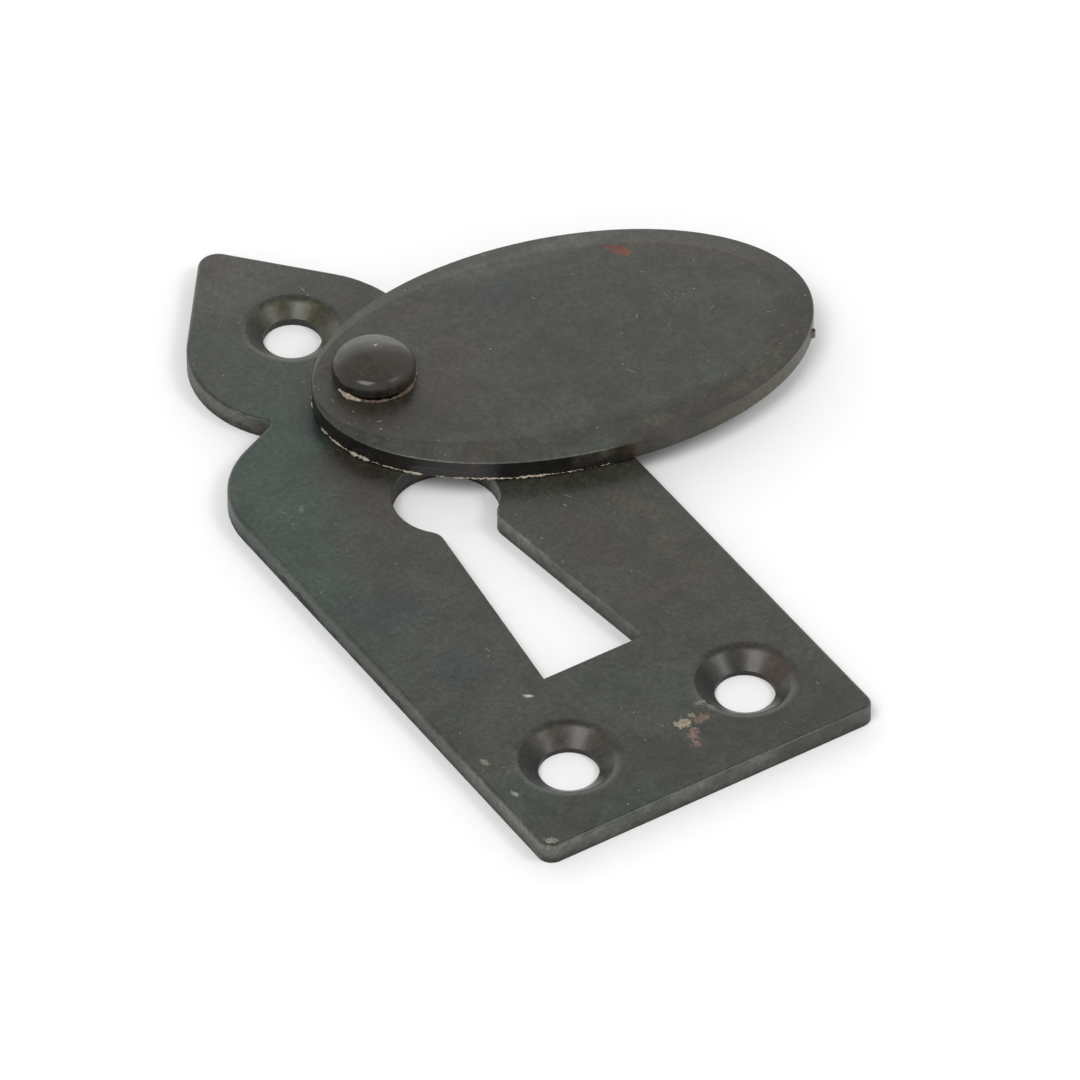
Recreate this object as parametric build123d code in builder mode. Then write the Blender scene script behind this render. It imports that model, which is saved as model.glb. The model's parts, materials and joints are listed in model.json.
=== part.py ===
"""Covered keyhole escutcheon: a stamped back plate, an oval swing cover and the rivet that carries it.

The plate lies on its back. The origin is on the key axis, at the centre of the keyhole's round,
on the back face. +Z comes out of the door, +Y points to the leaf's tip and +X is to the right.
The cover stands swung out to the right, clear of the keyhole.
"""
import os
from math import cos, radians, sin

from build123d import *

# Back plate, in millimetres
plate_width = 28.0
plate_thickness = 1.6
foot_below_key = 35.4
foot_corner_radius = 1.1
shoulder_above_key = 10.3
shoulder_rise = 6.3
shoulder_radius = 7.4
leaf_above_key = 19.6
leaf_radius = 8.65
tip_above_key = 32.35
tip_right_of_key = -0.5
tip_radius = 1.5
notch_radius = 0.4
plate_edge_radius = 0.25

# Keyhole
key_round_radius = 3.95
slot_below_key = 20.25
slot_foot_width = 8.55
slot_head_width = 3.75
slot_right_of_key = -0.25
neck_radius = 1.3
keyhole_edge_chamfer = 0.06

# Screw holes, dished for countersunk heads
screw_hole_radius = 2.2
dish_angle = 100.0
dish_rim_radius = 1.2
foot_dish_radius = 3.6
foot_screw_spacing = 15.0
foot_screw_above_foot = 7.25
leaf_dish_radius = 3.4
leaf_screw_above_key = 21.85
leaf_screw_right_of_key = 0.4

# Rivet
pivot_right_of_key = 1.62
pivot_above_key = 12.4
shank_radius = 1.5
tail_radius = 2.1
tail_depth = 0.6
head_radius = 3.12
head_foot_radius = 2.7
head_foot_height = 0.4
head_side_height = 1.25
head_crown_height = 1.0
head_rim_radius = 0.95

# Swing cover, with its long axis turned from +X
cover_length = 38.5
cover_width = 23.9
cover_thickness = 1.6
cover_turn = -11.8
pivot_from_cover_end = 5.02
pivot_beside_long_axis = 1.68
cover_end_bevel = 1.15
cover_side_bevel = 2.25
cover_flat_towards_pivot = 0.95
cover_flat_beside_long_axis = 0.6
cover_bevel_drop = 0.1
cover_edge_chamfer = 0.08
crop_burr_radius = 0.25
crop_burr_height = 0.6
crop_burr_angle = -20.2

# Clearances
cover_over_plate = 0.2
head_over_cover = 0.1
shank_running_clearance = 0.06

half_width = plate_width / 2
cover_underside = plate_thickness + cover_over_plate
cover_top = cover_underside + cover_thickness
head_underside = cover_top + head_over_cover
head_side_top = head_underside + head_side_height
head_crown = head_side_top + head_crown_height
foot_screw_y = foot_screw_above_foot - foot_below_key
pivot_point = (pivot_right_of_key, pivot_above_key, 0)
foot_screw_points = [
    (-foot_screw_spacing / 2, foot_screw_y, plate_thickness),
    (foot_screw_spacing / 2, foot_screw_y, plate_thickness),
]
leaf_screw_point = (leaf_screw_right_of_key, leaf_screw_above_key, plate_thickness)

# The plate: a square-footed blank with sloping shoulders, and a pointed leaf standing on it
with BuildPart() as back_plate:
    with BuildSketch() as outline:
        with BuildLine():
            Polyline(
                (-half_width, -foot_below_key),
                (half_width, -foot_below_key),
                (half_width, shoulder_above_key),
                (0, shoulder_above_key + shoulder_rise),
                (-half_width, shoulder_above_key),
                close=True,
            )
        make_face()
        fillet(outline.vertices().group_by(Axis.Y)[0], foot_corner_radius)
        fillet(outline.vertices().group_by(Axis.Y)[-2], shoulder_radius)
        with BuildSketch(mode=Mode.PRIVATE) as leaf:
            with Locations((0, leaf_above_key)):
                Circle(leaf_radius)
            with Locations((tip_right_of_key, tip_above_key - tip_radius)):
                Circle(tip_radius)
            make_hull()
        add(leaf.sketch)
    extrude(amount=plate_thickness)
    notches = back_plate.edges().filter_by(Axis.Z).filter_by_position(
        Axis.Y, shoulder_above_key, leaf_above_key
    )
    fillet(notches.sort_by(Axis.Y)[-2:], notch_radius)

    with BuildSketch() as keyhole:
        Circle(key_round_radius)
        with BuildLine():
            Polyline(
                (slot_right_of_key - slot_foot_width / 2, -slot_below_key),
                (slot_right_of_key + slot_foot_width / 2, -slot_below_key),
                (slot_right_of_key + slot_head_width / 2, 0),
                (slot_right_of_key - slot_head_width / 2, 0),
                close=True,
            )
        make_face()
        fillet(keyhole.vertices().sort_by(Axis.Y)[2:4], neck_radius)
    extrude(amount=plate_thickness, mode=Mode.SUBTRACT)

    face = back_plate.faces().sort_by(Axis.Z)[-1]
    fillet(face.outer_wire().edges(), plate_edge_radius)
    face = back_plate.faces().sort_by(Axis.Z)[-1]
    chamfer(face.inner_wires()[0].edges(), keyhole_edge_chamfer)

    with Locations(*foot_screw_points):
        CounterSinkHole(screw_hole_radius, foot_dish_radius, plate_thickness, dish_angle)
    with Locations(leaf_screw_point):
        CounterSinkHole(screw_hole_radius, leaf_dish_radius, plate_thickness, dish_angle)
    circles = back_plate.edges().filter_by(GeomType.CIRCLE).filter_by(lambda edge: edge.is_closed)
    fillet(circles.group_by(Axis.Z)[-1], dish_rim_radius)

    with Locations(pivot_point):
        Hole(shank_radius)
    tail_seat = back_plate.edges().filter_by(GeomType.CIRCLE).sort_by_distance(pivot_point)[0]
    chamfer(tail_seat, length=tail_depth, length2=tail_radius - shank_radius)

# The cover: an oval blank, bevelled round its face, hung near one end
cover_plane = Plane(
    origin=(pivot_right_of_key, pivot_above_key, cover_underside),
    x_dir=(cos(radians(cover_turn)), sin(radians(cover_turn)), 0),
    z_dir=(0, 0, 1),
)
cover_middle = (cover_length / 2 - pivot_from_cover_end, -pivot_beside_long_axis)
cover_flat_middle = (
    cover_middle[0] - cover_flat_towards_pivot,
    cover_middle[1] + cover_flat_beside_long_axis,
)
burr_point = (
    cover_middle[0] + cover_length / 2 * cos(radians(crop_burr_angle)),
    cover_middle[1] + cover_width / 2 * sin(radians(crop_burr_angle)),
)
with BuildPart() as swing_cover:
    with BuildSketch(cover_plane):
        with Locations(cover_middle):
            Ellipse(cover_length / 2, cover_width / 2)
    extrude(amount=cover_thickness - cover_bevel_drop)
    with BuildSketch(cover_plane.offset(cover_thickness - cover_bevel_drop)):
        with Locations(cover_middle):
            Ellipse(cover_length / 2, cover_width / 2)
    with BuildSketch(cover_plane.offset(cover_thickness)):
        with Locations(cover_flat_middle):
            Ellipse(cover_length / 2 - cover_end_bevel, cover_width / 2 - cover_side_bevel)
    loft()
    rings = swing_cover.edges().filter_by(lambda edge: edge.is_closed).sort_by(Axis.Z)
    chamfer(rings[-2], cover_edge_chamfer)
    with BuildSketch(cover_plane):
        with Locations(burr_point):
            Circle(crop_burr_radius)
    extrude(amount=crop_burr_height)
    with BuildSketch(cover_plane):
        Circle(shank_radius + shank_running_clearance)
    extrude(amount=cover_thickness, mode=Mode.SUBTRACT)

# The rivet: a domed head over the cover, and a tail spread flush into the plate's back
with BuildPart() as pivot_rivet:
    with BuildSketch(Plane(origin=pivot_point, x_dir=(1, 0, 0), z_dir=(0, -1, 0))) as section:
        with BuildLine():
            Polyline(
                (0, head_crown),
                (0, 0),
                (tail_radius, 0),
                (shank_radius, tail_depth),
                (shank_radius, head_underside),
                (head_foot_radius, head_underside),
                (head_radius, head_underside + head_foot_height),
                (head_radius, head_side_top),
            )
            TangentArc((0, head_crown), (head_radius, head_side_top), tangent=(1, 0))
        make_face()
        fillet(section.vertices().group_by(Axis.X)[-1].sort_by(Axis.Y)[-1], head_rim_radius)
    revolve(axis=Axis(pivot_point, (0, 0, 1)))

back_plate.part.label = "back_plate"
swing_cover.part.label = "swing_cover"
pivot_rivet.part.label = "pivot_rivet"

os.makedirs("parts", exist_ok=True)
export_step(back_plate.part, "parts/back_plate.step")
export_step(swing_cover.part, "parts/swing_cover.step")
export_step(pivot_rivet.part, "parts/pivot_rivet.step")
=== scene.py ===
"""Finishes, wax, rust and dust of a covered keyhole escutcheon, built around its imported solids.

Lengths are in metres in the part's own frame, and in millimetres where a comment says so: the origin
is on the key axis at the plate's back, +Z comes out of the door and +Y points to the leaf's tip.
"""
import json
import math

import bmesh
import bpy
from mathutils import Matrix, Vector


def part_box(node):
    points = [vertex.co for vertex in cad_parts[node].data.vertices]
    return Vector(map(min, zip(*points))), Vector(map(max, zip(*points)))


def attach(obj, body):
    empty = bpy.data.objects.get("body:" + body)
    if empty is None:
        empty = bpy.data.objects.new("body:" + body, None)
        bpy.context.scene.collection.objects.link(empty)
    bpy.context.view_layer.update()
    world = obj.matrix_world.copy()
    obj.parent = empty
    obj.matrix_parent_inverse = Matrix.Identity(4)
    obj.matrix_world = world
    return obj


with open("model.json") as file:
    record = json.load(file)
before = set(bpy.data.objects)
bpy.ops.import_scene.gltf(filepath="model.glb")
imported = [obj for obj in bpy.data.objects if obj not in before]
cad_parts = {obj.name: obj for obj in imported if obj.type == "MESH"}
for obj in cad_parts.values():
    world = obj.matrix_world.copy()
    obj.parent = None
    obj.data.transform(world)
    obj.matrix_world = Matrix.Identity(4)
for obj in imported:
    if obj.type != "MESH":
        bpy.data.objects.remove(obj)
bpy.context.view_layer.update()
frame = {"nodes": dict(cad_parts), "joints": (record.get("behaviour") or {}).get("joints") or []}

MM = 0.001

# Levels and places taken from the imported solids
PLATE_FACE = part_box("back_plate")[1].z
COVER_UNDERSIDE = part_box("swing_cover")[0].z
COVER_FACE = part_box("swing_cover")[1].z
PIVOT = Vector(frame["joints"][0]["pos_m"])

# The cover's oval, with its middle measured from the rivet along and across its long axis
COVER_TURN = math.radians(-11.8)
COVER_HALF_LENGTH = 19.25 * MM
COVER_HALF_WIDTH = 11.95 * MM
COVER_MIDDLE_ALONG = 14.23 * MM
COVER_MIDDLE_ACROSS = -1.68 * MM
RIVET_HEAD_RADIUS = 3.12 * MM

# Dished screw holes: place across and along the plate and radius at the face, in millimetres
LEAF_DISH = (0.4, 21.85, 3.85)
LEFT_FOOT_DISH = (-7.5, -28.15, 4.05)
RIGHT_FOOT_DISH = (7.5, -28.15, 4.05)

# Painted shade in a dish: the side that the light misses and the shade's turn in degrees from +X,
# and its place and half size as shares of the dish's radius
PAINTED_SHADE_SIDE = 157.376
PAINTED_SHADE_TURN = -20.624
PAINTED_SHADE_REACH = 0.80
PAINTED_SHADE_ACROSS = (0.48, 0.67)
PAINTED_SHADE_DULLNESS = 0.4
DISH_TINT = 0.85
DISH_SPREAD = 1.3
# Painted shade down the bore
BORE_SHADE = 0.80

# Blackened skin: sizes and ends of its patterns, and how far they shade, roughen and raise it
SWIRL_SIZE = 4 * MM
SWIRL_REACH = 6 * MM
TINT_SIZE = 7 * MM
TINT_ENDS = (0.40, 0.60)
CLOUD_SIZE = 2.6 * MM
CLOUD_ENDS = (0.28, 0.72)
GRAIN_SIZE = 0.4 * MM
GRAIN_ENDS = (0.25, 0.75)
SWELL_SIZE = 5 * MM
SWELL_HEIGHT = 5.0
CLOUD_SHADE = 0.28
GRAIN_SHADE = 0.38
CLOUD_ROUGHNESS = (-0.05, 0.06)
SKIN_RELIEF = 0.2
SKIN_DEPTH = 0.02 * MM

# Walls, edges (paled as wear and as a painted highlight) and dishes of the sheet, told by the upright
# share of the normal
WALL_SLOPES = (0.70, 0.30)
EDGE_SLOPES = ((0.1, 0.4), (0.75, 0.70))
DISH_SLOPES = ((0.5, 0.7), (0.98, 0.92))

# Streaks up the walls, their rise from a darker foot, which is painted shade, to a paler top,
# and the torn foot that shearing left, blackened at its hem as torn edge and painted contact shadow
STREAK_SIZE = 0.55 * MM
STREAK_ENDS = (0.3, 0.7)
STREAK_SQUEEZE = 0.25
STREAK_WANDER = 1.2 * MM
STREAK_STRENGTH = 0.5
RISE_LEVELS = (0.2 * MM, 1.5 * MM)
TEAR_SIZE = 1.5 * MM
TEAR_REACH = 1.7 * MM
NICK_LEVELS = (-0.2 * MM, -0.35 * MM)
NICK_RELIEF = 0.3
NICK_DEPTH = 0.2 * MM
HEM_LEVELS = (-0.45 * MM, -0.7 * MM)
HEM_SHADE = 0.8

# Ragged marks: size of their flakes as a share of their raggedness, and where the flakes end
FLAKE_SHARE = 0.35
FLAKE_ENDS = (0.48, 0.58)

# Fine scratches: turn in degrees and length over width, and how seldom they gather
SCRATCH_LAYS = ((12.0, 9.0), (64.0, 14.0), (118.0, 11.0), (155.0, 7.0))
SCRATCH_WIDTH = 0.11 * MM
SCRATCH_ENDS = (0.68, 0.80)
SCRATCH_STRENGTH = 0.45
GATHERING_SIZE = 3.5 * MM
GATHERING_FADE = 0.15
OPEN_GATHERING = 0.62
SCUFF_GATHERING = 0.22

# Crusts of wax, rust and dust
CRUST_CLOUD_SIZE = 0.35 * MM
CRUST_CLOUD_ENDS = (0.35, 0.65)
SPECKLE_SIZE = 0.06 * MM
SPECKLE_ENDS = (0.2, 0.8)
SPECKLE_SHADE = (0.75, 1.2)
SPECKLE_RELIEF = 0.4
SPECKLE_DEPTH = 0.03 * MM

# Beads of wax: sides, thinnest share of their width, and the fineness and reach of their unevenness
BEAD_SIDES = 8
THINNEST_BEAD = 0.02
BEAD_FINENESS = 4.0
BEAD_UNEVENNESS = 0.35
STRIP_FEWEST_STEPS = 4
STRIP_END_WIDTH = 0.25
STRIP_FULLNESS = 0.6
RIM_WAX_INSET = 0.03 * MM
COLLAR_INSET = 0.08 * MM
COLLAR_RISE = 0.08 * MM

# Dust: how level its face is, the size and ends of its clumps, and how rare large and long flecks are
LEVEL_SLOPE = 0.99
CLUMP_SIZE = 3.5 * MM
CLUMP_ENDS = (0.44, 0.66)
LARGE_RARITY = 3.0
LONG_RARITY = 4.0
MERGE_DISTANCE = 0.001 * MM

# Camera
CAMERA_AZIMUTH = math.radians(-32.624)
CAMERA_ELEVATION = math.radians(42.131)
CAMERA_ROLL = math.radians(-0.089)
CAMERA_DISTANCE = 886.37 * MM
CAMERA_AIM = Vector((4.151 * MM, -6.195 * MM, 0.0))
CAMERA_LENS_MM = 406.8
CAMERA_SENSOR_MM = 36.0
CAMERA_NEAR = 0.05
CAMERA_FAR = 20.0

# Stage, with each lamp's place, width and height in metres and power in watts
FLOOR_SIZE = 6.0
FLOOR_DROP = 0.02 * MM
PAPER_WHITE = (0.90, 0.90, 0.90, 1.0)
PAPER_TOOTH = (0.92, 0.92, 0.92, 1.0)
PAPER_TOOTH_SIZE = 1.5 * MM
DOME_WHITE = (1.0, 1.0, 1.0, 1.0)
DOME_AT_HORIZON = 0.95
DOME_OVERHEAD = 0.35
LAMPS = [
    ("left_softbox", (-0.41, -0.19, 0.78), 0.42, 0.42, 3.3),
    ("right_softbox", (0.42, -0.43, 0.67), 0.28, 0.28, 1.6),
    ("back_panel", (0.22, 0.34, 0.17), 1.0, 0.34, 0.9),
    ("front_fill", (-0.42, -0.66, 0.45), 0.9, 0.7, 0.8),
]

# Finishes
GREY_BLACK = (0.029, 0.029, 0.0215, 1.0)
BROWN_BLACK = (0.0295, 0.0265, 0.0195, 1.0)
GREEN_BLACK = (0.0265, 0.0315, 0.0225, 1.0)
TEAL_BLACK = (0.018, 0.037, 0.025, 1.0)
# Painted shadow on the neck under the cover
PAINTED_SHADOW_TEAL = (0.008, 0.015, 0.011, 1.0)
BLUE_BLACK = (0.020, 0.029, 0.028, 1.0)
RED_BLACK = (0.033, 0.025, 0.0195, 1.0)
OLIVE_BLACK = (0.052, 0.050, 0.025, 1.0)
OLIVE_STAIN = (0.062, 0.055, 0.028, 1.0)
DEEP_BROWN = (0.018, 0.015, 0.010, 1.0)
GREY_GREEN = (0.024, 0.0255, 0.0195, 1.0)
WARM_GREY = (0.058, 0.054, 0.044, 1.0)
WALL_BROWN = (0.058, 0.051, 0.042, 1.0)
WALL_GREY = (0.128, 0.131, 0.112, 1.0)
WALL_OLIVE = (0.060, 0.052, 0.034, 1.0)
# Pale edge tint: wear together with a painted highlight
EDGE_WEAR_AND_HIGHLIGHT = (0.100, 0.100, 0.090, 1.0)
# Near-black for painted shade: dark dish sides, bores, nicks, wall hems, the cover's wall and the rivet's
# side
PAINTED_SHADE = (0.007, 0.006, 0.005, 1.0)
RUST_RED = (0.130, 0.034, 0.018, 1.0)
RUST_BROWN = (0.085, 0.036, 0.020, 1.0)
RUST_PINK = (0.210, 0.130, 0.100, 1.0)
RUST_SHADE = (0.060, 0.036, 0.024, 1.0)
WAX_SHADE = (0.14, 0.108, 0.075, 1.0)
WAX_BEIGE = (0.30, 0.25, 0.18, 1.0)
WAX_PALE = (0.44, 0.40, 0.32, 1.0)
DUST_GREY = (0.19, 0.19, 0.17, 1.0)


def cover_point(along, across, level):
    """A point on the cover at rest, measured from the rivet along and across the long axis."""
    spun = Matrix.Rotation(COVER_TURN, 3, "Z") @ Vector((along, across, 0.0))
    return Vector((PIVOT.x + spun.x, PIVOT.y + spun.y, level))


def rim_point(angle, outset, level):
    """A point on the cover's rim, at an angle in degrees round its oval, moved out by outset."""
    turn = math.radians(angle)
    along = COVER_MIDDLE_ALONG + (COVER_HALF_LENGTH + outset) * math.cos(turn)
    across = COVER_MIDDLE_ACROSS + (COVER_HALF_WIDTH + outset) * math.sin(turn)
    return cover_point(along, across, level)


def collar_point(angle, radius, level):
    """A point on a ring round the rivet, at an angle in degrees from +X."""
    turn = math.radians(angle)
    return Vector((PIVOT.x + radius * math.cos(turn), PIVOT.y + radius * math.sin(turn), level))


class Graph:
    """Adds nodes to one node tree, with values or other nodes' sockets as their inputs."""

    def __init__(self, tree):
        self.tree = tree

    def add(self, kind, inputs=None, **settings):
        node = self.tree.nodes.new(kind)
        for name, value in settings.items():
            setattr(node, name, value)
        for name, value in (inputs or {}).items():
            self.feed(node.inputs[name], value)
        return node

    def feed(self, socket, value):
        if isinstance(value, bpy.types.NodeSocket):
            self.tree.links.new(value, socket)
        else:
            socket.default_value = value

    def math(self, operation, first, second=0.0):
        return self.add("ShaderNodeMath", {0: first, 1: second}, operation=operation).outputs[0]

    def vector(self, operation, first, second=(0.0, 0.0, 0.0)):
        return self.add("ShaderNodeVectorMath", {0: first, 1: second}, operation=operation).outputs[0]

    def ramp(self, value, low, high, low_out=0.0, high_out=1.0):
        inputs = {"Value": value, "From Min": low, "From Max": high, "To Min": low_out, "To Max": high_out}
        return self.add("ShaderNodeMapRange", inputs, interpolation_type="SMOOTHSTEP").outputs["Result"]

    def between(self, value, rise, fall):
        """1 where a value is past its rise and short of its fall."""
        return self.math("MULTIPLY", self.ramp(value, *rise), self.ramp(value, *fall))

    def shade(self, value, spread):
        """A factor round 1 that follows a value from 0 to 1."""
        return self.ramp(value, 0.0, 1.0, 1.0 - spread, 1.0 + spread)

    def mix(self, factor, first, second, blend="MIX"):
        node = self.add("ShaderNodeMix", data_type="RGBA", blend_type=blend)
        self.feed(node.inputs["Factor"], factor)
        self.feed(node.inputs[6], first)
        self.feed(node.inputs[7], second)
        return node.outputs[2]

    def noise(self, position, size, detail=2.0, roughness=0.5):
        scale = self.math("DIVIDE", 1.0, size)
        inputs = {"Vector": position, "Scale": scale, "Detail": detail, "Roughness": roughness}
        return self.add("ShaderNodeTexNoise", inputs).outputs["Fac"]

    def drift(self, position, scale, reach):
        """Offsets to all sides, by up to half of reach."""
        drift = self.add("ShaderNodeTexNoise", {"Vector": position, "Scale": scale}).outputs["Color"]
        drift = self.vector("SUBTRACT", drift, (0.5, 0.5, 0.5))
        return self.add("ShaderNodeVectorMath", {0: drift, "Scale": reach}, operation="SCALE").outputs[0]

    def random(self, seed):
        return self.add("FunctionNodeRandomValue", {"Seed": seed}, data_type="FLOAT").outputs["Value"]

    def group(self, tree, inputs):
        node = self.add("ShaderNodeGroup", node_tree=tree)
        for name, value in inputs.items():
            self.feed(node.inputs[name], value)
        return node.outputs


def node_group(name, kind, inputs, outputs):
    """An empty node group, with its Graph, its input sockets and the sockets of its result."""
    tree = bpy.data.node_groups.new(name, kind)
    for label, socket in inputs:
        tree.interface.new_socket(label, in_out="INPUT", socket_type="NodeSocket" + socket)
    for label, socket in outputs:
        tree.interface.new_socket(label, in_out="OUTPUT", socket_type="NodeSocket" + socket)
    graph = Graph(tree)
    return tree, graph, graph.add("NodeGroupInput").outputs, graph.add("NodeGroupOutput").inputs


def make_patch_group():
    """A ragged oval mark: 1 inside it, 0 outside, feathered at its edge and broken into flakes."""
    inputs = [
        ("Position", "Vector"),
        ("Centre", "Vector"),
        ("Turn", "Vector"),
        ("Half size", "Vector"),
        ("Ragged size", "Float"),
        ("Raggedness", "Float"),
        ("Feather", "Float"),
        ("Brokenness", "Float"),
    ]
    tree, graph, given, result = node_group("ragged_patch", "ShaderNodeTree", inputs, [("Mask", "Float")])
    mapping = {
        "Vector": given["Position"],
        "Location": given["Centre"],
        "Rotation": given["Turn"],
        "Scale": given["Half size"],
    }
    local = graph.add("ShaderNodeMapping", mapping, vector_type="TEXTURE").outputs[0]
    distance = graph.add("ShaderNodeVectorMath", {0: local}, operation="LENGTH").outputs["Value"]
    ripple = graph.math("SUBTRACT", graph.noise(given["Position"], given["Ragged size"], detail=3.0), 0.5)
    distance = graph.math("ADD", distance, graph.math("MULTIPLY", ripple, given["Raggedness"]))
    half_feather = graph.math("MULTIPLY", given["Feather"], 0.5)
    outer = graph.math("ADD", 1.0, half_feather)
    inner = graph.math("SUBTRACT", 1.0, half_feather)
    inside = graph.ramp(distance, outer, inner)
    flake_size = graph.math("MULTIPLY", given["Ragged size"], FLAKE_SHARE)
    flakes = graph.ramp(graph.noise(given["Position"], flake_size), *FLAKE_ENDS)
    gaps = graph.math("MULTIPLY", given["Brokenness"], graph.math("SUBTRACT", 1.0, flakes))
    graph.feed(result["Mask"], graph.math("MULTIPLY", inside, graph.math("SUBTRACT", 1.0, gaps)))
    return tree


def make_skin_group():
    """The skin of blackened sheet steel: slow tint, drawn-out clouds, fine grain and unevenness."""
    outputs = [("Tint", "Float"), ("Cloud", "Float"), ("Grain", "Float"), ("Height", "Float")]
    tree, graph, given, result = node_group(
        "blackened_skin", "ShaderNodeTree", [("Position", "Vector")], outputs
    )
    position = given["Position"]
    drawn = graph.vector("ADD", position, graph.drift(position, 1 / SWIRL_SIZE, SWIRL_REACH))
    tint = graph.noise(drawn, TINT_SIZE, detail=5.0, roughness=0.6)
    cloud = graph.noise(drawn, CLOUD_SIZE, detail=6.0, roughness=0.7)
    grain = graph.noise(position, GRAIN_SIZE, detail=4.0, roughness=0.85)
    swell = graph.math("MULTIPLY", graph.noise(position, SWELL_SIZE, detail=1.0), SWELL_HEIGHT)
    graph.feed(result["Tint"], graph.ramp(tint, *TINT_ENDS))
    graph.feed(result["Cloud"], graph.ramp(cloud, *CLOUD_ENDS))
    graph.feed(result["Grain"], graph.ramp(grain, *GRAIN_ENDS))
    graph.feed(result["Height"], graph.math("ADD", swell, grain))
    return tree


def make_wall_group():
    """The walls, edges and dishes of the sheet, told by the slope, with streaks and torn nicks."""
    inputs = [("Position", "Vector"), ("Normal", "Vector"), ("Foot", "Float")]
    labels = ("Wall", "Edge", "Dish", "Streak", "Rise", "Nick", "Hem")
    outputs = [(label, "Float") for label in labels]
    tree, graph, given, result = node_group("sheared_wall", "ShaderNodeTree", inputs, outputs)
    slope = graph.math("ABSOLUTE", graph.add("ShaderNodeSeparateXYZ", {0: given["Normal"]}).outputs["Z"])
    wall = graph.ramp(slope, *WALL_SLOPES)
    graph.feed(result["Wall"], wall)
    graph.feed(result["Edge"], graph.between(slope, *EDGE_SLOPES))
    graph.feed(result["Dish"], graph.between(slope, *DISH_SLOPES))
    squeeze = {"Vector": given["Position"], "Scale": (1.0, 1.0, STREAK_SQUEEZE)}
    stretched = graph.add("ShaderNodeMapping", squeeze).outputs[0]
    streak = graph.noise(stretched, STREAK_SIZE, detail=3.0, roughness=0.6)
    graph.feed(result["Streak"], graph.ramp(streak, *STREAK_ENDS))
    level = graph.add("ShaderNodeSeparateXYZ", {0: given["Position"]}).outputs["Z"]
    height = graph.math("SUBTRACT", level, given["Foot"])
    wander = graph.math("MULTIPLY", graph.math("SUBTRACT", streak, 0.5), STREAK_WANDER)
    graph.feed(result["Rise"], graph.ramp(graph.math("ADD", height, wander), *RISE_LEVELS))
    tear = graph.noise(stretched, TEAR_SIZE, detail=5.0, roughness=0.7)
    torn = graph.math("SUBTRACT", height, graph.math("MULTIPLY", tear, TEAR_REACH))
    graph.feed(result["Nick"], graph.math("MULTIPLY", wall, graph.ramp(torn, *NICK_LEVELS)))
    graph.feed(result["Hem"], graph.math("MULTIPLY", wall, graph.ramp(torn, *HEM_LEVELS)))
    return tree


def make_scratch_group():
    """Short fine scratches, lying in a few directions and gathered in places."""
    inputs = [("Position", "Vector"), ("Gathering", "Float")]
    outputs = [("Mask", "Float")]
    tree, graph, given, result = node_group("fine_scratches", "ShaderNodeTree", inputs, outputs)
    gather = graph.noise(given["Position"], GATHERING_SIZE, detail=1.0)
    mask = 0.0
    for turn, length in SCRATCH_LAYS:
        lay = {
            "Vector": given["Position"],
            "Rotation": (0.0, 0.0, math.radians(turn)),
            "Scale": (length, 1.0, 1.0),
        }
        laid = graph.add("ShaderNodeMapping", lay, vector_type="TEXTURE").outputs[0]
        scratch = graph.ramp(graph.noise(laid, SCRATCH_WIDTH, detail=1.0), *SCRATCH_ENDS)
        mask = graph.math("MAXIMUM", scratch, mask)
    full = graph.math("ADD", given["Gathering"], GATHERING_FADE)
    gathered = graph.ramp(gather, given["Gathering"], full)
    graph.feed(result["Mask"], graph.math("MULTIPLY", mask, gathered))
    return tree


RAGGED_PATCH = make_patch_group()
BLACKENED_SKIN = make_skin_group()
SHEARED_WALL = make_wall_group()
FINE_SCRATCHES = make_scratch_group()


def start_material(name):
    """A node material, with its Graph, its shader and its texture coordinates."""
    material = bpy.data.materials.new(name)
    material.use_nodes = True
    graph = Graph(material.node_tree)
    shader = material.node_tree.nodes["Principled BSDF"]
    return material, graph, shader, graph.add("ShaderNodeTexCoord").outputs


def mark(
    colour,
    strength,
    at,
    size,
    turn=0.0,
    ragged=1.4,
    ragged_size=2.5,
    feather=1.0,
    broken=0.0,
    dull=0.0,
    on=None,
):
    """One coloured mark, placed in millimetres and turned in degrees.

    dull is how much rougher it makes the skin, and on names the one kind of surface that it keeps to.
    """
    where = {
        "Centre": (at[0] * MM, at[1] * MM, 0.0),
        "Turn": (0.0, 0.0, math.radians(turn)),
        "Half size": (size[0] * MM, size[1] * MM, 1.0),
        "Ragged size": ragged_size * MM,
        "Raggedness": ragged,
        "Feather": feather,
        "Brokenness": broken,
    }
    return {"colour": colour, "strength": strength, "dull": dull, "on": on, "where": where}


def flake(colour, strength, at, size, turn=0.0, broken=0.0):
    """A small dry flake with a torn outline."""
    torn = {"ragged": 3.0, "ragged_size": 0.9 * min(size), "feather": 0.35, "dull": 0.3}
    return mark(colour, strength, at, size, turn, broken=broken, **torn)


def stain(colour, strength, at, size, turn=0.0, ragged_size=1.2, broken=0.4):
    """A thin stain, broken into islands."""
    return mark(colour, strength, at, size, turn, ragged=2.5, ragged_size=ragged_size, broken=broken)


def rust(strength, at, size, turn=0.0, ragged_size=1.0, broken=0.3, on=None):
    """A bloom of brown rust."""
    return mark(RUST_BROWN, strength, at, size, turn, ragged_size=ragged_size, broken=broken, on=on)


def scuff(at, size):
    """A place where fine scratches gather."""
    return mark(DUST_GREY, 1.0, at, size, ragged_size=1.5)["where"]


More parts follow.
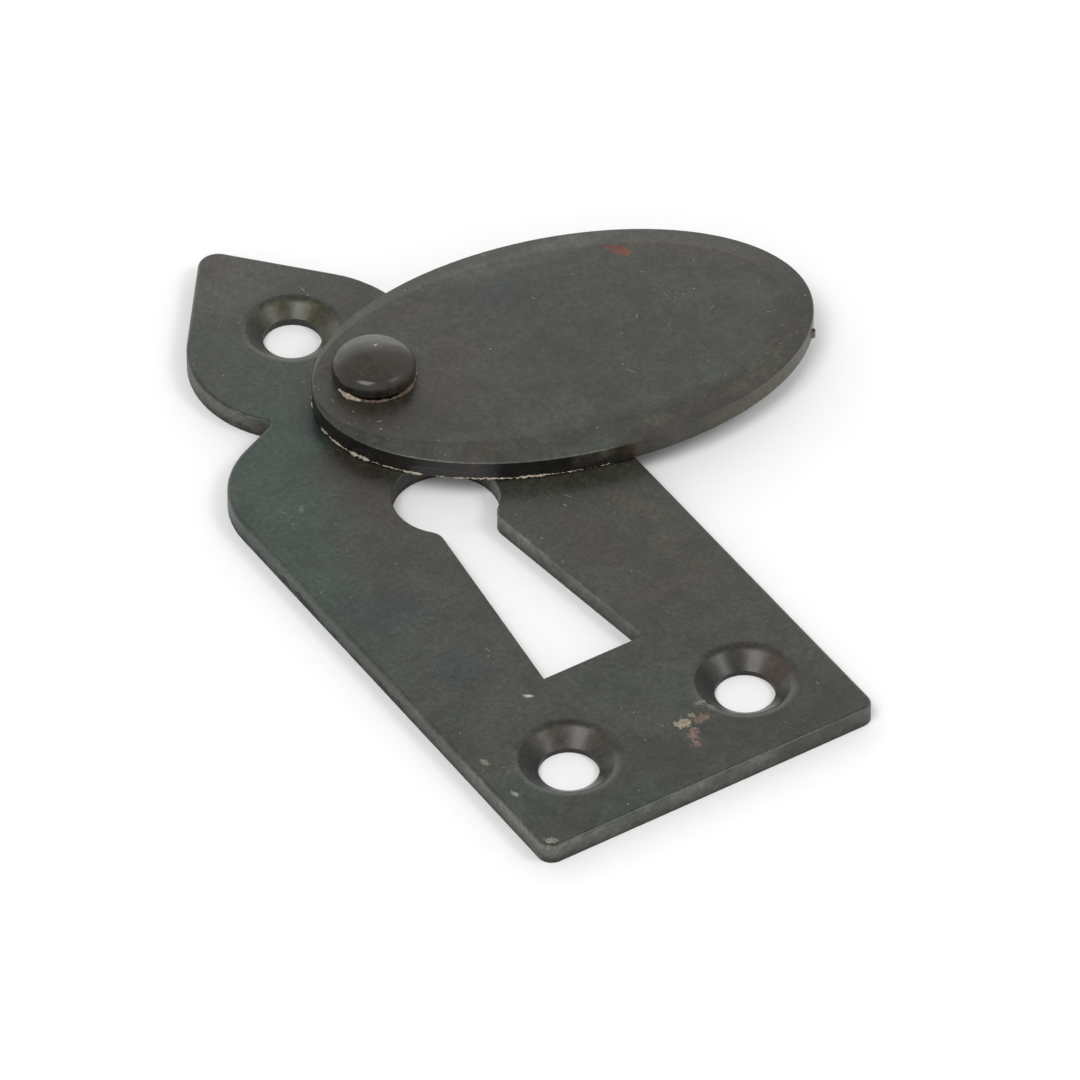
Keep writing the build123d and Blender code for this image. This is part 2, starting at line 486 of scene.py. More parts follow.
def dish_marks(dish, tint, shade_strength):
    """Marks of a dished hole: its tint, painted shade on the side that the light misses, and a bore
    darkened with painted shade.
    """
    x, y, radius = dish
    shaded = math.radians(PAINTED_SHADE_SIDE)
    reach = PAINTED_SHADE_REACH * radius
    side = (x + reach * math.cos(shaded), y + reach * math.sin(shaded))
    across = (PAINTED_SHADE_ACROSS[0] * radius, PAINTED_SHADE_ACROSS[1] * radius)
    spread = DISH_SPREAD * radius
    shade_look = {"ragged": 0.5, "ragged_size": 1.2, "dull": PAINTED_SHADE_DULLNESS * shade_strength}
    return [
        mark(tint, DISH_TINT, at=(x, y), size=(spread, spread), on="Dish"),
        mark(PAINTED_SHADE, shade_strength, side, across, PAINTED_SHADE_TURN, on="Dish", **shade_look),
        mark(PAINTED_SHADE, BORE_SHADE, at=(x, y), size=(radius, radius), on="Wall"),
    ]


def lay_marks(graph, position, wall, marks, colour, rough):
    """Lays coloured marks over a finish, and roughens it where they are dull."""
    for each in marks:
        mask = graph.group(RAGGED_PATCH, {"Position": position, **each["where"]})["Mask"]
        if each["on"]:
            mask = graph.math("MULTIPLY", mask, wall[each["on"]])
        colour = graph.mix(graph.math("MULTIPLY", mask, each["strength"]), colour, each["colour"])
        if each["dull"]:
            rough = graph.math("ADD", rough, graph.math("MULTIPLY", mask, each["dull"]))
    return colour, rough


def lay_scratches(graph, position, scuffs, colour):
    """Lays fine scratches over a finish, and more of them where it is scuffed."""
    gathering = OPEN_GATHERING
    for where in scuffs:
        place = graph.group(RAGGED_PATCH, {"Position": position, **where})["Mask"]
        gathering = graph.math("SUBTRACT", gathering, graph.math("MULTIPLY", place, SCUFF_GATHERING))
    scratch = graph.group(FINE_SCRATCHES, {"Position": position, "Gathering": gathering})["Mask"]
    return graph.mix(graph.math("MULTIPLY", scratch, SCRATCH_STRENGTH), colour, DUST_GREY)


def steel(name, tints, walls, foot, roughness, marks, scuffs, mottle=1.0, gloss=0.5, edge=0.6, torn=0.0):
    """Blackened, waxed steel between two tints, with walls of two tints and coloured marks over it.

    foot is the level of the walls' foot, mottle is how uneven the skin is, edge is how much the edges are
    paled, as wear and painted highlight, and torn is how much rougher the walls are.
    """
    material, graph, shader, coordinates = start_material(name)
    position = coordinates["Object"]
    skin = graph.group(BLACKENED_SKIN, {"Position": position})
    sheared = {"Position": position, "Normal": coordinates["Normal"], "Foot": foot}
    wall = graph.group(SHEARED_WALL, sheared)

    colour = graph.mix(skin["Tint"], *tints)
    # Walls painted darker towards their foot: painted shade
    walled = graph.mix(wall["Rise"], *walls)
    walled = graph.mix(wall["Streak"], walled, graph.mix(STREAK_STRENGTH, walled, colour))
    colour = graph.mix(wall["Wall"], colour, walled)
    # Edges paled: wear together with a painted highlight
    colour = graph.mix(graph.math("MULTIPLY", wall["Edge"], edge), colour, EDGE_WEAR_AND_HIGHLIGHT)
    # Painted contact shadow, together with the dark torn edge, along the walls' hem
    colour = graph.mix(graph.math("MULTIPLY", wall["Hem"], HEM_SHADE), colour, PAINTED_SHADE)
    smooth, coarse = CLOUD_ROUGHNESS
    rough = graph.ramp(skin["Cloud"], 0.0, 1.0, roughness + smooth, roughness + coarse)
    rough = graph.math("ADD", rough, graph.math("MULTIPLY", wall["Wall"], torn))
    colour, rough = lay_marks(graph, position, wall, marks, colour, rough)
    cloudy = graph.shade(skin["Cloud"], CLOUD_SHADE * mottle)
    grainy = graph.shade(skin["Grain"], GRAIN_SHADE * mottle)
    colour = graph.mix(1.0, colour, graph.math("MULTIPLY", cloudy, grainy), blend="MULTIPLY")
    colour = lay_scratches(graph, position, scuffs, colour)

    uneven = {"Height": skin["Height"], "Strength": SKIN_RELIEF * mottle, "Distance": SKIN_DEPTH}
    normal = graph.add("ShaderNodeBump", uneven).outputs["Normal"]
    nicked = {"Height": wall["Nick"], "Strength": NICK_RELIEF, "Distance": NICK_DEPTH}
    normal = graph.add("ShaderNodeBump", {**nicked, "Normal": normal}, invert=True).outputs["Normal"]
    shader.inputs["Specular IOR Level"].default_value = gloss
    graph.feed(shader.inputs["Base Color"], colour)
    graph.feed(shader.inputs["Roughness"], rough)
    graph.feed(shader.inputs["Normal"], normal)
    return material


PLATE_MARKS = [
    # Teal round the notch and down the edge, blue and red patches beside the keyhole
    mark(TEAL_BLACK, 0.90, at=(-6.5, 11.5), size=(4.8, 4.2)),
    mark(TEAL_BLACK, 0.80, at=(-10.5, 6.0), size=(3.6, 5.5)),
    mark(TEAL_BLACK, 0.70, at=(-12.6, -3.5), size=(2.6, 9.5)),
    mark(GREEN_BLACK, 0.70, at=(-12.5, -15.0), size=(2.6, 9.0)),
    mark(BLUE_BLACK, 0.65, at=(-9.3, -8.8), size=(2.1, 1.8)),
    mark(BLUE_BLACK, 0.75, at=(-8.9, -15.9), size=(1.9, 1.6)),
    mark(BLUE_BLACK, 0.50, at=(-12.4, -6.6), size=(1.1, 1.4)),
    mark(BROWN_BLACK, 0.80, at=(-4.4, 4.8), size=(2.4, 4.0)),
    mark(RED_BLACK, 0.60, at=(-4.4, 1.5), size=(1.6, 3.2)),
    mark(RED_BLACK, 0.45, at=(-4.8, -5.0), size=(1.2, 2.4)),
    # Greens along the foot
    mark(DEEP_BROWN, 0.40, at=(1.0, -33.0), size=(14.0, 3.4)),
    mark(TEAL_BLACK, 0.50, at=(-11.9, -30.4), size=(1.8, 2.6)),
    mark(TEAL_BLACK, 0.45, at=(-6.0, -34.2), size=(3.2, 1.4)),
    mark(GREEN_BLACK, 0.50, at=(1.7, -33.6), size=(3.0, 1.6)),
    mark(DEEP_BROWN, 0.50, at=(-11.5, -33.6), size=(1.6, 1.2), turn=-30),
    mark(DEEP_BROWN, 0.65, at=(9.5, -34.0), size=(5.0, 1.4)),
    mark(DEEP_BROWN, 0.55, at=(11.0, -35.0), size=(6.0, 2.0), on="Wall"),
    # Paler edges, as wear and painted highlight; painted shadow from the cover on the neck and under its
    # rim;
    # and darker walls at the notch's end
    mark(EDGE_WEAR_AND_HIGHLIGHT, 0.30, at=(-14.0, -12.0), size=(0.8, 26.0), feather=0.3, on="Dish"),
    mark(EDGE_WEAR_AND_HIGHLIGHT, 0.35, at=(-2.0, -35.4), size=(12.0, 0.8), feather=0.3, on="Dish"),
    # Painted shadow that the cover casts on the plate above the keyhole and on the neck
    mark(DEEP_BROWN, 0.80, at=(-2.6, 6.6), size=(3.8, 2.2), turn=-20),
    mark(PAINTED_SHADOW_TEAL, 0.80, at=(-3.0, 11.0), size=(1.7, 3.4), turn=20),
    mark(DEEP_BROWN, 0.75, at=(-7.8, 13.6), size=(1.8, 1.8), on="Wall"),
    mark(WALL_BROWN, 0.50, at=(-7.4, 15.6), size=(2.2, 2.6), on="Wall"),
    # Painted shadow under the cover's near rim, on the face and down the keyhole's wall
    mark(DEEP_BROWN, 0.55, at=(7.5, -0.8), size=(4.4, 1.8), turn=-20),
    mark(PAINTED_SHADE, 0.80, at=(-2.8, 3.0), size=(2.6, 3.0), dull=0.2, on="Wall"),
    # Browns and olive stains down the right
    mark(BROWN_BLACK, 0.85, at=(9.0, -13.0), size=(5.5, 13.0)),
    mark(RED_BLACK, 0.50, at=(6.4, -10.0), size=(1.2, 3.6)),
    mark(RED_BLACK, 0.45, at=(8.1, -17.0), size=(1.7, 1.3)),
    stain(OLIVE_STAIN, 0.50, at=(11.0, -7.9), size=(0.7, 2.2), turn=20),
    stain(OLIVE_STAIN, 0.32, at=(10.6, -13.1), size=(0.8, 1.8), turn=20),
    stain(OLIVE_STAIN, 0.32, at=(11.2, -16.5), size=(1.2, 1.6)),
    # The leaf: green at the left, brown at the tip and the right
    mark(GREEN_BLACK, 0.85, at=(-5.4, 21.5), size=(3.2, 5.5)),
    mark(TEAL_BLACK, 0.45, at=(-4.0, 17.0), size=(3.0, 3.0)),
    mark(RED_BLACK, 0.50, at=(6.2, 23.0), size=(2.4, 3.4)),
    mark(WARM_GREY, 0.55, at=(-1.1, 29.4), size=(4.5, 3.4), feather=1.6),
    mark(RED_BLACK, 0.50, at=(-0.9, 30.6), size=(1.8, 1.4)),
    # Dished holes with painted shade on their unlit side, and painted shade in the nicks of the left wall
    *dish_marks(LEAF_DISH, OLIVE_BLACK, shade_strength=0.75),
    *dish_marks(LEFT_FOOT_DISH, BROWN_BLACK, shade_strength=0.90),
    *dish_marks(RIGHT_FOOT_DISH, BROWN_BLACK, shade_strength=0.90),
    rust(0.22, at=(10.3, -27.4), size=(1.6, 1.8), on="Dish"),
    rust(0.14, at=(-5.9, -25.8), size=(2.4, 1.4), turn=-32, on="Dish"),
    # Painted shade in the nicks of the left wall
    mark(PAINTED_SHADE, 0.75, at=(-14.0, -6.0), size=(2.0, 14.0), ragged_size=3.0, broken=0.7, dull=0.2, on="Nick"),
    mark(PAINTED_SHADE, 0.60, at=(-7.0, 13.0), size=(6.0, 6.0), ragged_size=3.0, broken=0.5, dull=0.2, on="Nick"),
    # Flakes of wax and rust between the foot holes, and odd flecks
    flake(WAX_BEIGE, 0.75, at=(1.25, -29.55), size=(0.55, 0.40), turn=-20),
    flake(RUST_PINK, 0.70, at=(2.6, -29.9), size=(0.60, 0.36), turn=20, broken=0.3),
    flake(RUST_PINK, 0.70, at=(1.3, -30.9), size=(0.42, 0.55), turn=-30, broken=0.3),
    flake(RUST_PINK, 0.60, at=(0.9, -31.9), size=(0.34, 0.30), broken=0.3),
    flake(WAX_BEIGE, 0.45, at=(3.5, -28.4), size=(0.36, 0.24), broken=0.4),
    flake(WAX_BEIGE, 0.40, at=(4.0, -29.1), size=(0.30, 0.34), broken=0.4),
    flake(WAX_BEIGE, 0.50, at=(2.2, -29.2), size=(0.24, 0.20)),
    flake(WAX_PALE, 0.80, at=(-6.5, -21.2), size=(0.36, 0.15), turn=-36),
    flake(WAX_PALE, 0.35, at=(-12.8, -25.4), size=(0.24, 0.34), broken=0.4),
    flake(WAX_PALE, 0.40, at=(-12.8, -29.3), size=(0.20, 0.32), turn=20),
    flake(WAX_PALE, 0.45, at=(-13.2, -34.7), size=(0.45, 0.26), turn=-36, broken=0.3),
    flake(WAX_BEIGE, 0.35, at=(-9.6, 4.5), size=(0.34, 0.16), turn=60, broken=0.4),
]
PLATE_SCUFFS = [
    scuff(at=(-9.6, 4.5), size=(1.6, 1.2)),
    scuff(at=(-11.0, -27.0), size=(1.6, 3.0)),
    scuff(at=(9.0, -34.0), size=(4.0, 0.9)),
]
COVER_MARKS = [
    # Grey in the middle, brown at the rivet's end and along the lower rim
    mark(GREY_GREEN, 0.70, at=(15.5, 5.5), size=(10.5, 7.5)),
    mark(BROWN_BLACK, 0.85, at=(2.5, 10.5), size=(7.0, 7.0)),
    mark(DEEP_BROWN, 0.70, at=(0.0, 8.8), size=(5.0, 4.0), turn=-40),
    mark(RED_BLACK, 0.55, at=(8.6, 17.6), size=(3.4, 1.6), turn=30),
    mark(BLUE_BLACK, 0.45, at=(14.4, 15.6), size=(3.0, 1.3), turn=20),
    mark(RED_BLACK, 0.60, at=(5.4, 8.6), size=(1.6, 2.2)),
    mark(RED_BLACK, 0.40, at=(11.3, 9.0), size=(1.8, 1.2)),
    mark(BLUE_BLACK, 0.35, at=(10.2, 7.0), size=(1.5, 1.1)),
    mark(DEEP_BROWN, 0.90, at=(18.5, -4.3), size=(11.5, 1.9), turn=6, ragged_size=1.5, feather=0.5),
    mark(DEEP_BROWN, 0.85, at=(30.6, 0.2), size=(2.2, 5.2), turn=-35, ragged_size=1.5, feather=0.5),
    mark(DEEP_BROWN, 0.60, at=(33.4, 5.6), size=(1.5, 5.6), turn=12, ragged_size=1.5, feather=0.8),
    stain(OLIVE_STAIN, 0.40, at=(26.5, -2.0), size=(2.6, 0.9), turn=30, ragged_size=0.9, broken=0.6),
    stain(OLIVE_STAIN, 0.40, at=(23.2, -3.0), size=(1.6, 0.7), turn=15, ragged_size=0.9, broken=0.6),
    stain(OLIVE_STAIN, 0.35, at=(16.2, -2.9), size=(1.6, 0.6), ragged_size=0.9, broken=0.6),
    stain(RUST_BROWN, 0.24, at=(21.0, -3.1), size=(5.0, 0.5), turn=2, ragged_size=1.0, broken=0.8),
    mark(WARM_GREY, 0.60, at=(17.5, 17.6), size=(9.0, 0.9), turn=-6, ragged=2.0, ragged_size=1.4),
    # Painted shade: the cover's wall blackened at the rivet's end, where it faces the dark plate, and
    # along its near foot
    mark(PAINTED_SHADE, 0.97, at=(2.5, 5.0), size=(12.0, 11.5), feather=0.6, on="Wall"),
    mark(PAINTED_SHADE, 0.80, at=(20.0, -5.5), size=(14.0, 5.0), on="Nick"),
    mark(OLIVE_STAIN, 0.75, at=(25.5, -4.0), size=(7.0, 4.5), ragged_size=0.8, broken=0.45, on="Wall"),
    mark(WAX_BEIGE, 0.30, at=(32.1, 0.1), size=(0.5, 0.5), ragged_size=0.4, on="Wall"),
    # Rust
    mark(
        RUST_RED,
        0.85,
        at=(24.3, 14.5),
        size=(1.05, 0.50),
        turn=-58,
        ragged_size=0.7,
        feather=0.3,
        dull=0.2,
    ),
    rust(0.25, at=(28.5, 12.0), size=(6.0, 0.7), turn=-45, ragged_size=1.2, broken=0.7),
    rust(0.25, at=(7.7, 11.1), size=(1.6, 2.0), ragged_size=1.5, broken=0.6),
    rust(0.35, at=(3.8, 0.9), size=(1.4, 0.8), ragged_size=0.9, broken=0.5),
    flake(RUST_BROWN, 0.70, at=(-0.8, 14.8), size=(0.34, 0.28)),
    flake(RUST_BROWN, 0.70, at=(0.05, 15.5), size=(0.30, 0.24)),
    rust(0.50, at=(13.8, -4.4), size=(1.1, 0.4), turn=-15, ragged_size=0.8, broken=0.4),
]
COVER_SCUFFS = [
    scuff(at=(4.3, 9.1), size=(1.6, 1.2)),
    scuff(at=(27.4, 11.6), size=(1.6, 1.6)),
    scuff(at=(24.5, 8.2), size=(1.2, 2.4)),
    scuff(at=(11.4, 1.5), size=(3.4, 1.4)),
    scuff(at=(5.5, 15.0), size=(2.0, 1.6)),
]
RIVET_MARKS = [
    mark(OLIVE_STAIN, 0.55, at=(2.0, 13.0), size=(0.7, 0.4), turn=-30, ragged_size=0.5, broken=0.3),
    # Painted reflection: the head's left side paled as if its slope caught the bright horizon
    mark(WARM_GREY, 0.14, at=(0.0, 12.6), size=(2.0, 2.2), ragged_size=0.9),
    mark(RED_BLACK, 0.80, at=(3.0, 10.6), size=(2.2, 1.5), turn=-20, ragged_size=0.9, dull=0.4),
    flake(WAX_PALE, 0.60, at=(2.15, 12.95), size=(0.16, 0.09), turn=20),
]


def dress(node, material):
    """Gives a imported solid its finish."""
    slots = frame["nodes"][node].data.materials
    slots.clear()
    slots.append(material)


dress(
    "back_plate",
    steel(
        "plate_steel",
        (GREY_BLACK, GREEN_BLACK),
        (WALL_BROWN, WALL_GREY),
        foot=0.0,
        roughness=0.36,
        marks=PLATE_MARKS,
        scuffs=PLATE_SCUFFS,
        torn=0.12,
    ),
)
dress(
    "swing_cover",
    steel(
        "cover_steel",
        (GREY_BLACK, GREEN_BLACK),
        (BROWN_BLACK, WALL_OLIVE),
        foot=COVER_UNDERSIDE,
        roughness=0.37,
        marks=COVER_MARKS,
        scuffs=COVER_SCUFFS,
    ),
)
dress(
    "pivot_rivet",
    steel(
        "rivet_steel",
        (DEEP_BROWN, BROWN_BLACK),
        # The head's side painted black: painted shade
        (PAINTED_SHADE, PAINTED_SHADE),
        foot=0.0,
        roughness=0.23,
        marks=RIVET_MARKS,
        scuffs=[],
        mottle=0.4,
        gloss=0.36,
        edge=0.0,
    ),
)


def crust(name, first, second, roughness):
    """A dry crust between two colours, such as old wax, rust or dust."""
    material, graph, shader, coordinates = start_material(name)
    cloud = graph.noise(coordinates["Object"], CRUST_CLOUD_SIZE, detail=3.0)
    speckle = graph.noise(coordinates["Object"], SPECKLE_SIZE)
    colour = graph.mix(graph.ramp(cloud, *CRUST_CLOUD_ENDS), first, second)
    shade = graph.ramp(speckle, *SPECKLE_ENDS, *SPECKLE_SHADE)
    colour = graph.mix(1.0, colour, shade, blend="MULTIPLY")
    speckled = {"Height": speckle, "Strength": SPECKLE_RELIEF, "Distance": SPECKLE_DEPTH}
    bump = graph.add("ShaderNodeBump", speckled)
    graph.feed(shader.inputs["Base Color"], colour)
    shader.inputs["Roughness"].default_value = roughness
    graph.feed(shader.inputs["Normal"], bump.outputs["Normal"])
    return material


def make_bead_tree():
    """Sweeps lines that carry a half_width into lumpy beads, kept above a lowest level."""
    inputs = [
        ("Lines", "Geometry"),
        ("Step", "Float"),
        ("Lump size", "Float"),
        ("Lumpiness", "Float"),
        ("Lowest", "Float"),
        ("Finish", "Material"),
    ]
    outputs = [("Beads", "Geometry")]
    tree, graph, given, result = node_group("lumpy_bead", "GeometryNodeTree", inputs, outputs)
    curve = graph.add("GeometryNodeMeshToCurve", {"Mesh": given["Lines"]}).outputs[0]
    steps = {"Curve": curve, "Length": given["Step"]}
    curve = graph.add("GeometryNodeResampleCurve", steps, mode="LENGTH").outputs[0]
    position = graph.add("GeometryNodeInputPosition").outputs[0]
    stored = graph.add("GeometryNodeInputNamedAttribute", {"Name": "half_width"}, data_type="FLOAT")
    width = stored.outputs["Attribute"]
    swell = graph.noise(position, given["Lump size"], detail=4.0, roughness=0.75)
    swell = graph.math("MULTIPLY", graph.math("SUBTRACT", swell, 0.5), given["Lumpiness"])
    swell = graph.math("ADD", 1.0, swell)
    profile = graph.add("GeometryNodeCurvePrimitiveCircle", {"Resolution": BEAD_SIDES, "Radius": 1.0})
    sweep = {
        "Curve": curve,
        "Profile Curve": profile.outputs["Curve"],
        "Scale": graph.math("MULTIPLY", width, graph.math("MAXIMUM", swell, THINNEST_BEAD)),
        "Fill Caps": True,
    }
    beads = graph.add("GeometryNodeCurveToMesh", sweep).outputs[0]
    scale = graph.math("DIVIDE", BEAD_FINENESS, given["Lump size"])
    reach = graph.math("MULTIPLY", given["Lump size"], BEAD_UNEVENNESS)
    jitter = graph.drift(position, scale, reach)
    beads = graph.add("GeometryNodeSetPosition", {"Geometry": beads, "Offset": jitter}).outputs[0]
    split = graph.add("ShaderNodeSeparateXYZ", {0: position}).outputs
    raised = {"X": split["X"], "Y": split["Y"], "Z": graph.math("MAXIMUM", split["Z"], given["Lowest"])}
    raised = graph.add("ShaderNodeCombineXYZ", raised).outputs[0]
    beads = graph.add("GeometryNodeSetPosition", {"Geometry": beads, "Position": raised}).outputs[0]
    beads = graph.add("GeometryNodeSetShadeSmooth", {"Geometry": beads}).outputs[0]
    beads = graph.add("GeometryNodeRealizeInstances", {"Geometry": beads}).outputs[0]
    finished = {"Geometry": beads, "Material": given["Finish"]}
    beads = graph.add("GeometryNodeSetMaterial", finished).outputs[0]
    graph.feed(result["Beads"], beads)
    return tree


def make_fleck_tree():
    """Scatters small flat flakes over the level faces of a surface."""
    inputs = [
        ("Surface", "Geometry"),
        ("Density", "Float"),
        ("Smallest", "Float"),
        ("Largest", "Float"),
        ("Stretch", "Float"),
        ("Thickness", "Float"),
        ("Seed", "Int"),
        ("Finish", "Material"),
    ]
    outputs = [("Flecks", "Geometry")]
    tree, graph, given, result = node_group("scattered_flecks", "GeometryNodeTree", inputs, outputs)
    normal = graph.add("GeometryNodeInputNormal").outputs[0]
    slope = graph.add("ShaderNodeSeparateXYZ", {0: normal}).outputs["Z"]
    position = graph.add("GeometryNodeInputPosition").outputs[0]
    clump = graph.ramp(graph.noise(position, CLUMP_SIZE, detail=3.0), *CLUMP_ENDS)
    spread = {
        "Mesh": given["Surface"],
        "Selection": graph.math("GREATER_THAN", slope, LEVEL_SLOPE),
        "Density": graph.math("MULTIPLY", given["Density"], clump),
        "Seed": given["Seed"],
    }
    points = graph.add("GeometryNodeDistributePointsOnFaces", spread).outputs["Points"]
    large = graph.math("POWER", graph.random(given["Seed"]), LARGE_RARITY)
    size = graph.ramp(large, 0.0, 1.0, given["Smallest"], given["Largest"])
    long = graph.math("POWER", graph.random(graph.math("ADD", given["Seed"], 1.0)), LONG_RARITY)
    longer = graph.ramp(long, 0.0, 1.0, 1.0, given["Stretch"])
    turn = graph.math("MULTIPLY", graph.random(graph.math("ADD", given["Seed"], 2.0)), math.tau)
    spin = graph.add("ShaderNodeCombineXYZ", {"Z": turn}).outputs[0]
    thinned = graph.math("DIVIDE", size, graph.math("SQRT", longer))
    form = {"X": graph.math("MULTIPLY", size, longer), "Y": thinned, "Z": given["Thickness"]}
    fleck = graph.add("GeometryNodeMeshIcoSphere", {"Radius": 1.0, "Subdivisions": 1}).outputs["Mesh"]
    place = {
        "Points": points,
        "Instance": fleck,
        "Rotation": spin,
        "Scale": graph.add("ShaderNodeCombineXYZ", form).outputs[0],
    }
    flecks = graph.add("GeometryNodeInstanceOnPoints", place).outputs[0]
    flecks = graph.add("GeometryNodeRealizeInstances", {"Geometry": flecks}).outputs[0]
    finished = {"Geometry": flecks, "Material": given["Finish"]}
    flecks = graph.add("GeometryNodeSetMaterial", finished).outputs[0]
    graph.feed(result["Flecks"], flecks)
    return tree


LUMPY_BEAD = make_bead_tree()
SCATTERED_FLECKS = make_fleck_tree()


def grow(name, mesh, tree, values, body):
    """Runs a tree on a mesh, and leaves its result as a plain mesh that rides on a body."""
    piece = bpy.data.objects.new(name, mesh)
    bpy.context.scene.collection.objects.link(piece)
    modifier = piece.modifiers.new(tree.name, "NODES")
    modifier.node_group = tree
    for item in tree.interface.items_tree:
        if item.in_out == "INPUT" and item.name in values:
            modifier[item.identifier] = values[item.name]
    grown = bpy.data.meshes.new_from_object(piece.evaluated_get(bpy.context.evaluated_depsgraph_get()))
    piece.modifiers.clear()
    grown.name = name
    piece.data = grown
    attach(piece, body)


def line_mesh(name, strips):
    """A mesh of open lines from strips of (point, half width)."""
    mesh = bpy.data.meshes.new(name)
    points = []
    widths = []
    edges = []
    for strip in strips:
        edges += [(len(points) + step, len(points) + step + 1) for step in range(len(strip) - 1)]
        points += [point for point, width in strip]
        widths += [width for point, width in strip]
    mesh.from_pydata(points, edges, [])
    mesh.attributes.new("half_width", "FLOAT", "POINT").data.foreach_set("value", widths)
    return mesh


def tapered_strip(place, start, end, half_width):
    """A strip along place(angle), from one angle to another, that tapers at both ends."""
    steps = max(STRIP_FEWEST_STEPS, round(abs(end - start)))
    strip = []
    for step in range(steps + 1):
        share = step / steps
        fullness = math.sin(math.pi * share) ** STRIP_FULLNESS
        taper = STRIP_END_WIDTH + (1.0 - STRIP_END_WIDTH) * fullness
        strip.append((place(start + (end - start) * share), half_width * taper))
    return strip


def wax_under_rim(angle):
    """A point of the wax that is pressed out under the cover's rim."""
    return rim_point(angle, -RIM_WAX_INSET, COVER_UNDERSIDE)


def crust_round_rivet(angle):
    """A point of the crust at the foot of the rivet's head."""
    return collar_point(angle, RIVET_HEAD_RADIUS - COLLAR_INSET, COVER_FACE + COLLAR_RISE)


# Strips of wax and rust: start and end in degrees round the oval or the rivet, half width in millimetres
RIM_WAX = [
    (163, 176, 0.05),
    (183, 188, 0.14),
    (188, 199, 0.10),
    (199, 207, 0.20),
    (207, 218, 0.07),
    (217, 223, 0.10),
    (226, 243, 0.07),
    (241, 255, 0.10),
    (254, 268, 0.06),
]
RIVET_WAX = [(180, 224, 0.20), (312, 346, 0.15)]
RIVET_RUST = [(196, 290, 0.14), (266, 318, 0.17), (300, 342, 0.16)]


def add_wax():
    """Old wax along the cover's foot and round the rivet, and rust round the rivet's foot."""
    strips = [tapered_strip(wax_under_rim, start, end, half * MM) for start, end, half in RIM_WAX]
    strips += [tapered_strip(crust_round_rivet, start, end, half * MM) for start, end, half in RIVET_WAX]
    values = {
        "Step": 0.07 * MM,
        "Lump size": 0.9 * MM,
        "Lumpiness": 4.5,
        "Lowest": PLATE_FACE + 0.04 * MM,
        "Finish": crust("old_wax", WAX_BEIGE, WAX_PALE, roughness=0.7),
    }
    grow("cover_wax", line_mesh("cover_wax_lines", strips), LUMPY_BEAD, values, "cover")
    strips = [tapered_strip(crust_round_rivet, start, end, half * MM) for start, end, half in RIVET_RUST]
    values["Finish"] = crust("rivet_rust", RUST_SHADE, WAX_SHADE, roughness=0.8)
    grow("rivet_rust", line_mesh("rivet_rust_lines", strips), LUMPY_BEAD, values, "cover")


def surface_copy(node):
    """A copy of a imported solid's mesh, with its loose triangles merged."""
    mesh = frame["nodes"][node].data.copy()
    cut = bmesh.new()
    cut.from_mesh(mesh)
    bmesh.ops.remove_doubles(cut, verts=cut.verts, dist=MERGE_DISTANCE)
    cut.to_mesh(mesh)
    cut.free()
    return mesh


# Dusty solids: node, body, slot, flecks to a square metre and seed
DUSTY_SOLIDS = [
    ("back_plate", "plate", "plate_steel", 450000.0, 3),
    ("swing_cover", "cover", "cover_steel", 1300000.0, 8),
]


def add_dust():
    """Flecks of grey dust on the level faces."""
    finish = crust("grey_dust", DUST_GREY, WAX_BEIGE, roughness=0.9)
    for node, body, slot, density, seed in DUSTY_SOLIDS:
        values = {
            "Density": density,
            "Smallest": 0.025 * MM,
            "Largest": 0.075 * MM,
            "Stretch": 5.0,
            "Thickness": 0.012 * MM,
            "Seed": seed,
            "Finish": finish,
        }
        grow(body + "_dust", surface_copy(node), SCATTERED_FLECKS, values, body)


add_wax()
add_dust()


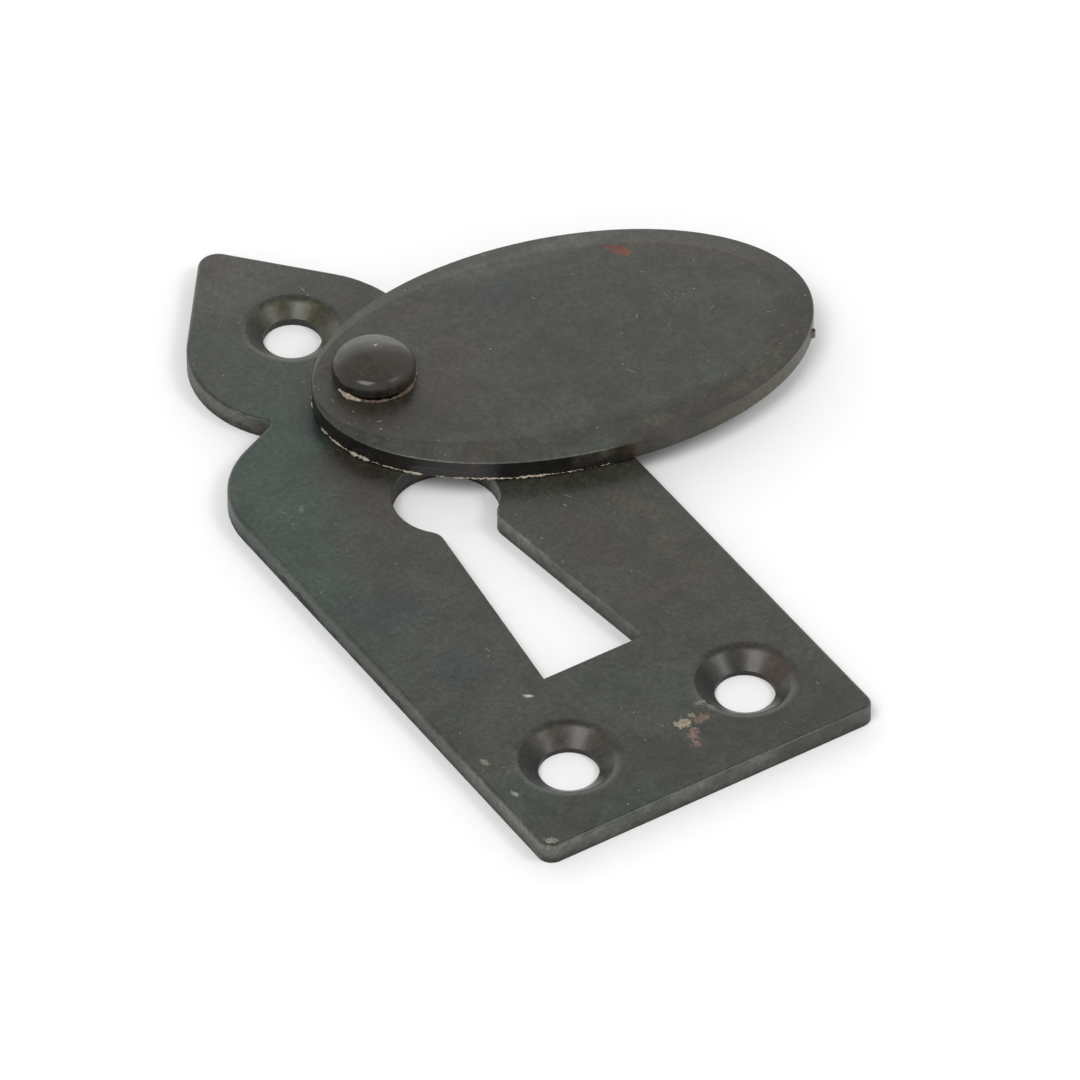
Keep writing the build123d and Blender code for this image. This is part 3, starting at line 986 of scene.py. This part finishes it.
def make_floor():
    """A sheet of white paper under the plate."""
    mesh = bpy.data.meshes.new("floor")
    half = FLOOR_SIZE / 2
    corners = [(-half, -half), (half, -half), (half, half), (-half, half)]
    mesh.from_pydata([(x, y, -FLOOR_DROP) for x, y in corners], [], [(0, 1, 2, 3)])
    floor = bpy.data.objects.new("floor", mesh)
    bpy.context.scene.collection.objects.link(floor)
    material, graph, shader, coordinates = start_material("white_paper")
    tooth = graph.noise(coordinates["Object"], PAPER_TOOTH_SIZE)
    graph.feed(shader.inputs["Base Color"], graph.mix(tooth, PAPER_WHITE, PAPER_TOOTH))
    shader.inputs["Roughness"].default_value = 1.0
    shader.inputs["Specular IOR Level"].default_value = 0.0
    mesh.materials.append(material)


def make_dome():
    """A white surround that is brightest at the horizon and dims overhead."""
    world = bpy.data.worlds.new("studio")
    bpy.context.scene.world = world
    world.use_nodes = True
    graph = Graph(world.node_tree)
    direction = graph.add("ShaderNodeTexCoord").outputs["Generated"]
    height = graph.add("ShaderNodeSeparateXYZ", {0: direction}).outputs["Z"]
    background = world.node_tree.nodes["Background"]
    background.inputs["Color"].default_value = DOME_WHITE
    strength = graph.ramp(height, 0.0, 1.0, DOME_AT_HORIZON, DOME_OVERHEAD)
    graph.feed(background.inputs["Strength"], strength)


def make_softbox(name, place, width, height, power):
    """A lamp at a place in the part's frame, with its width level, that looks at the origin."""
    lamp = bpy.data.lights.new(name, "AREA")
    lamp.shape = "RECTANGLE"
    lamp.size = width
    lamp.size_y = height
    lamp.energy = power
    box = bpy.data.objects.new(name, lamp)
    facing = Vector(place).to_track_quat("Z", "Y").to_matrix().to_4x4()
    box.matrix_world = Matrix.Translation(place) @ facing
    bpy.context.scene.collection.objects.link(box)


def make_camera():
    """A long lens that looks down on the plate from its lower left."""
    lens = bpy.data.cameras.new("camera")
    lens.sensor_width = CAMERA_SENSOR_MM
    lens.lens = CAMERA_LENS_MM
    lens.clip_start = CAMERA_NEAR
    lens.clip_end = CAMERA_FAR
    camera = bpy.data.objects.new("camera", lens)
    turn = Matrix.Rotation(CAMERA_AZIMUTH, 4, "Z")
    tilt = Matrix.Rotation(math.pi / 2 - CAMERA_ELEVATION, 4, "X")
    roll = Matrix.Rotation(CAMERA_ROLL, 4, "Z")
    facing = turn @ tilt @ roll
    eye = CAMERA_AIM + CAMERA_DISTANCE * (facing.to_3x3() @ Vector((0.0, 0.0, 1.0)))
    camera.matrix_world = Matrix.Translation(eye) @ facing
    bpy.context.scene.collection.objects.link(camera)
    bpy.context.scene.camera = camera


make_floor()
make_dome()
for lamp in LAMPS:
    make_softbox(*lamp)
make_camera()
bpy.context.scene.view_settings.view_transform = "Standard"
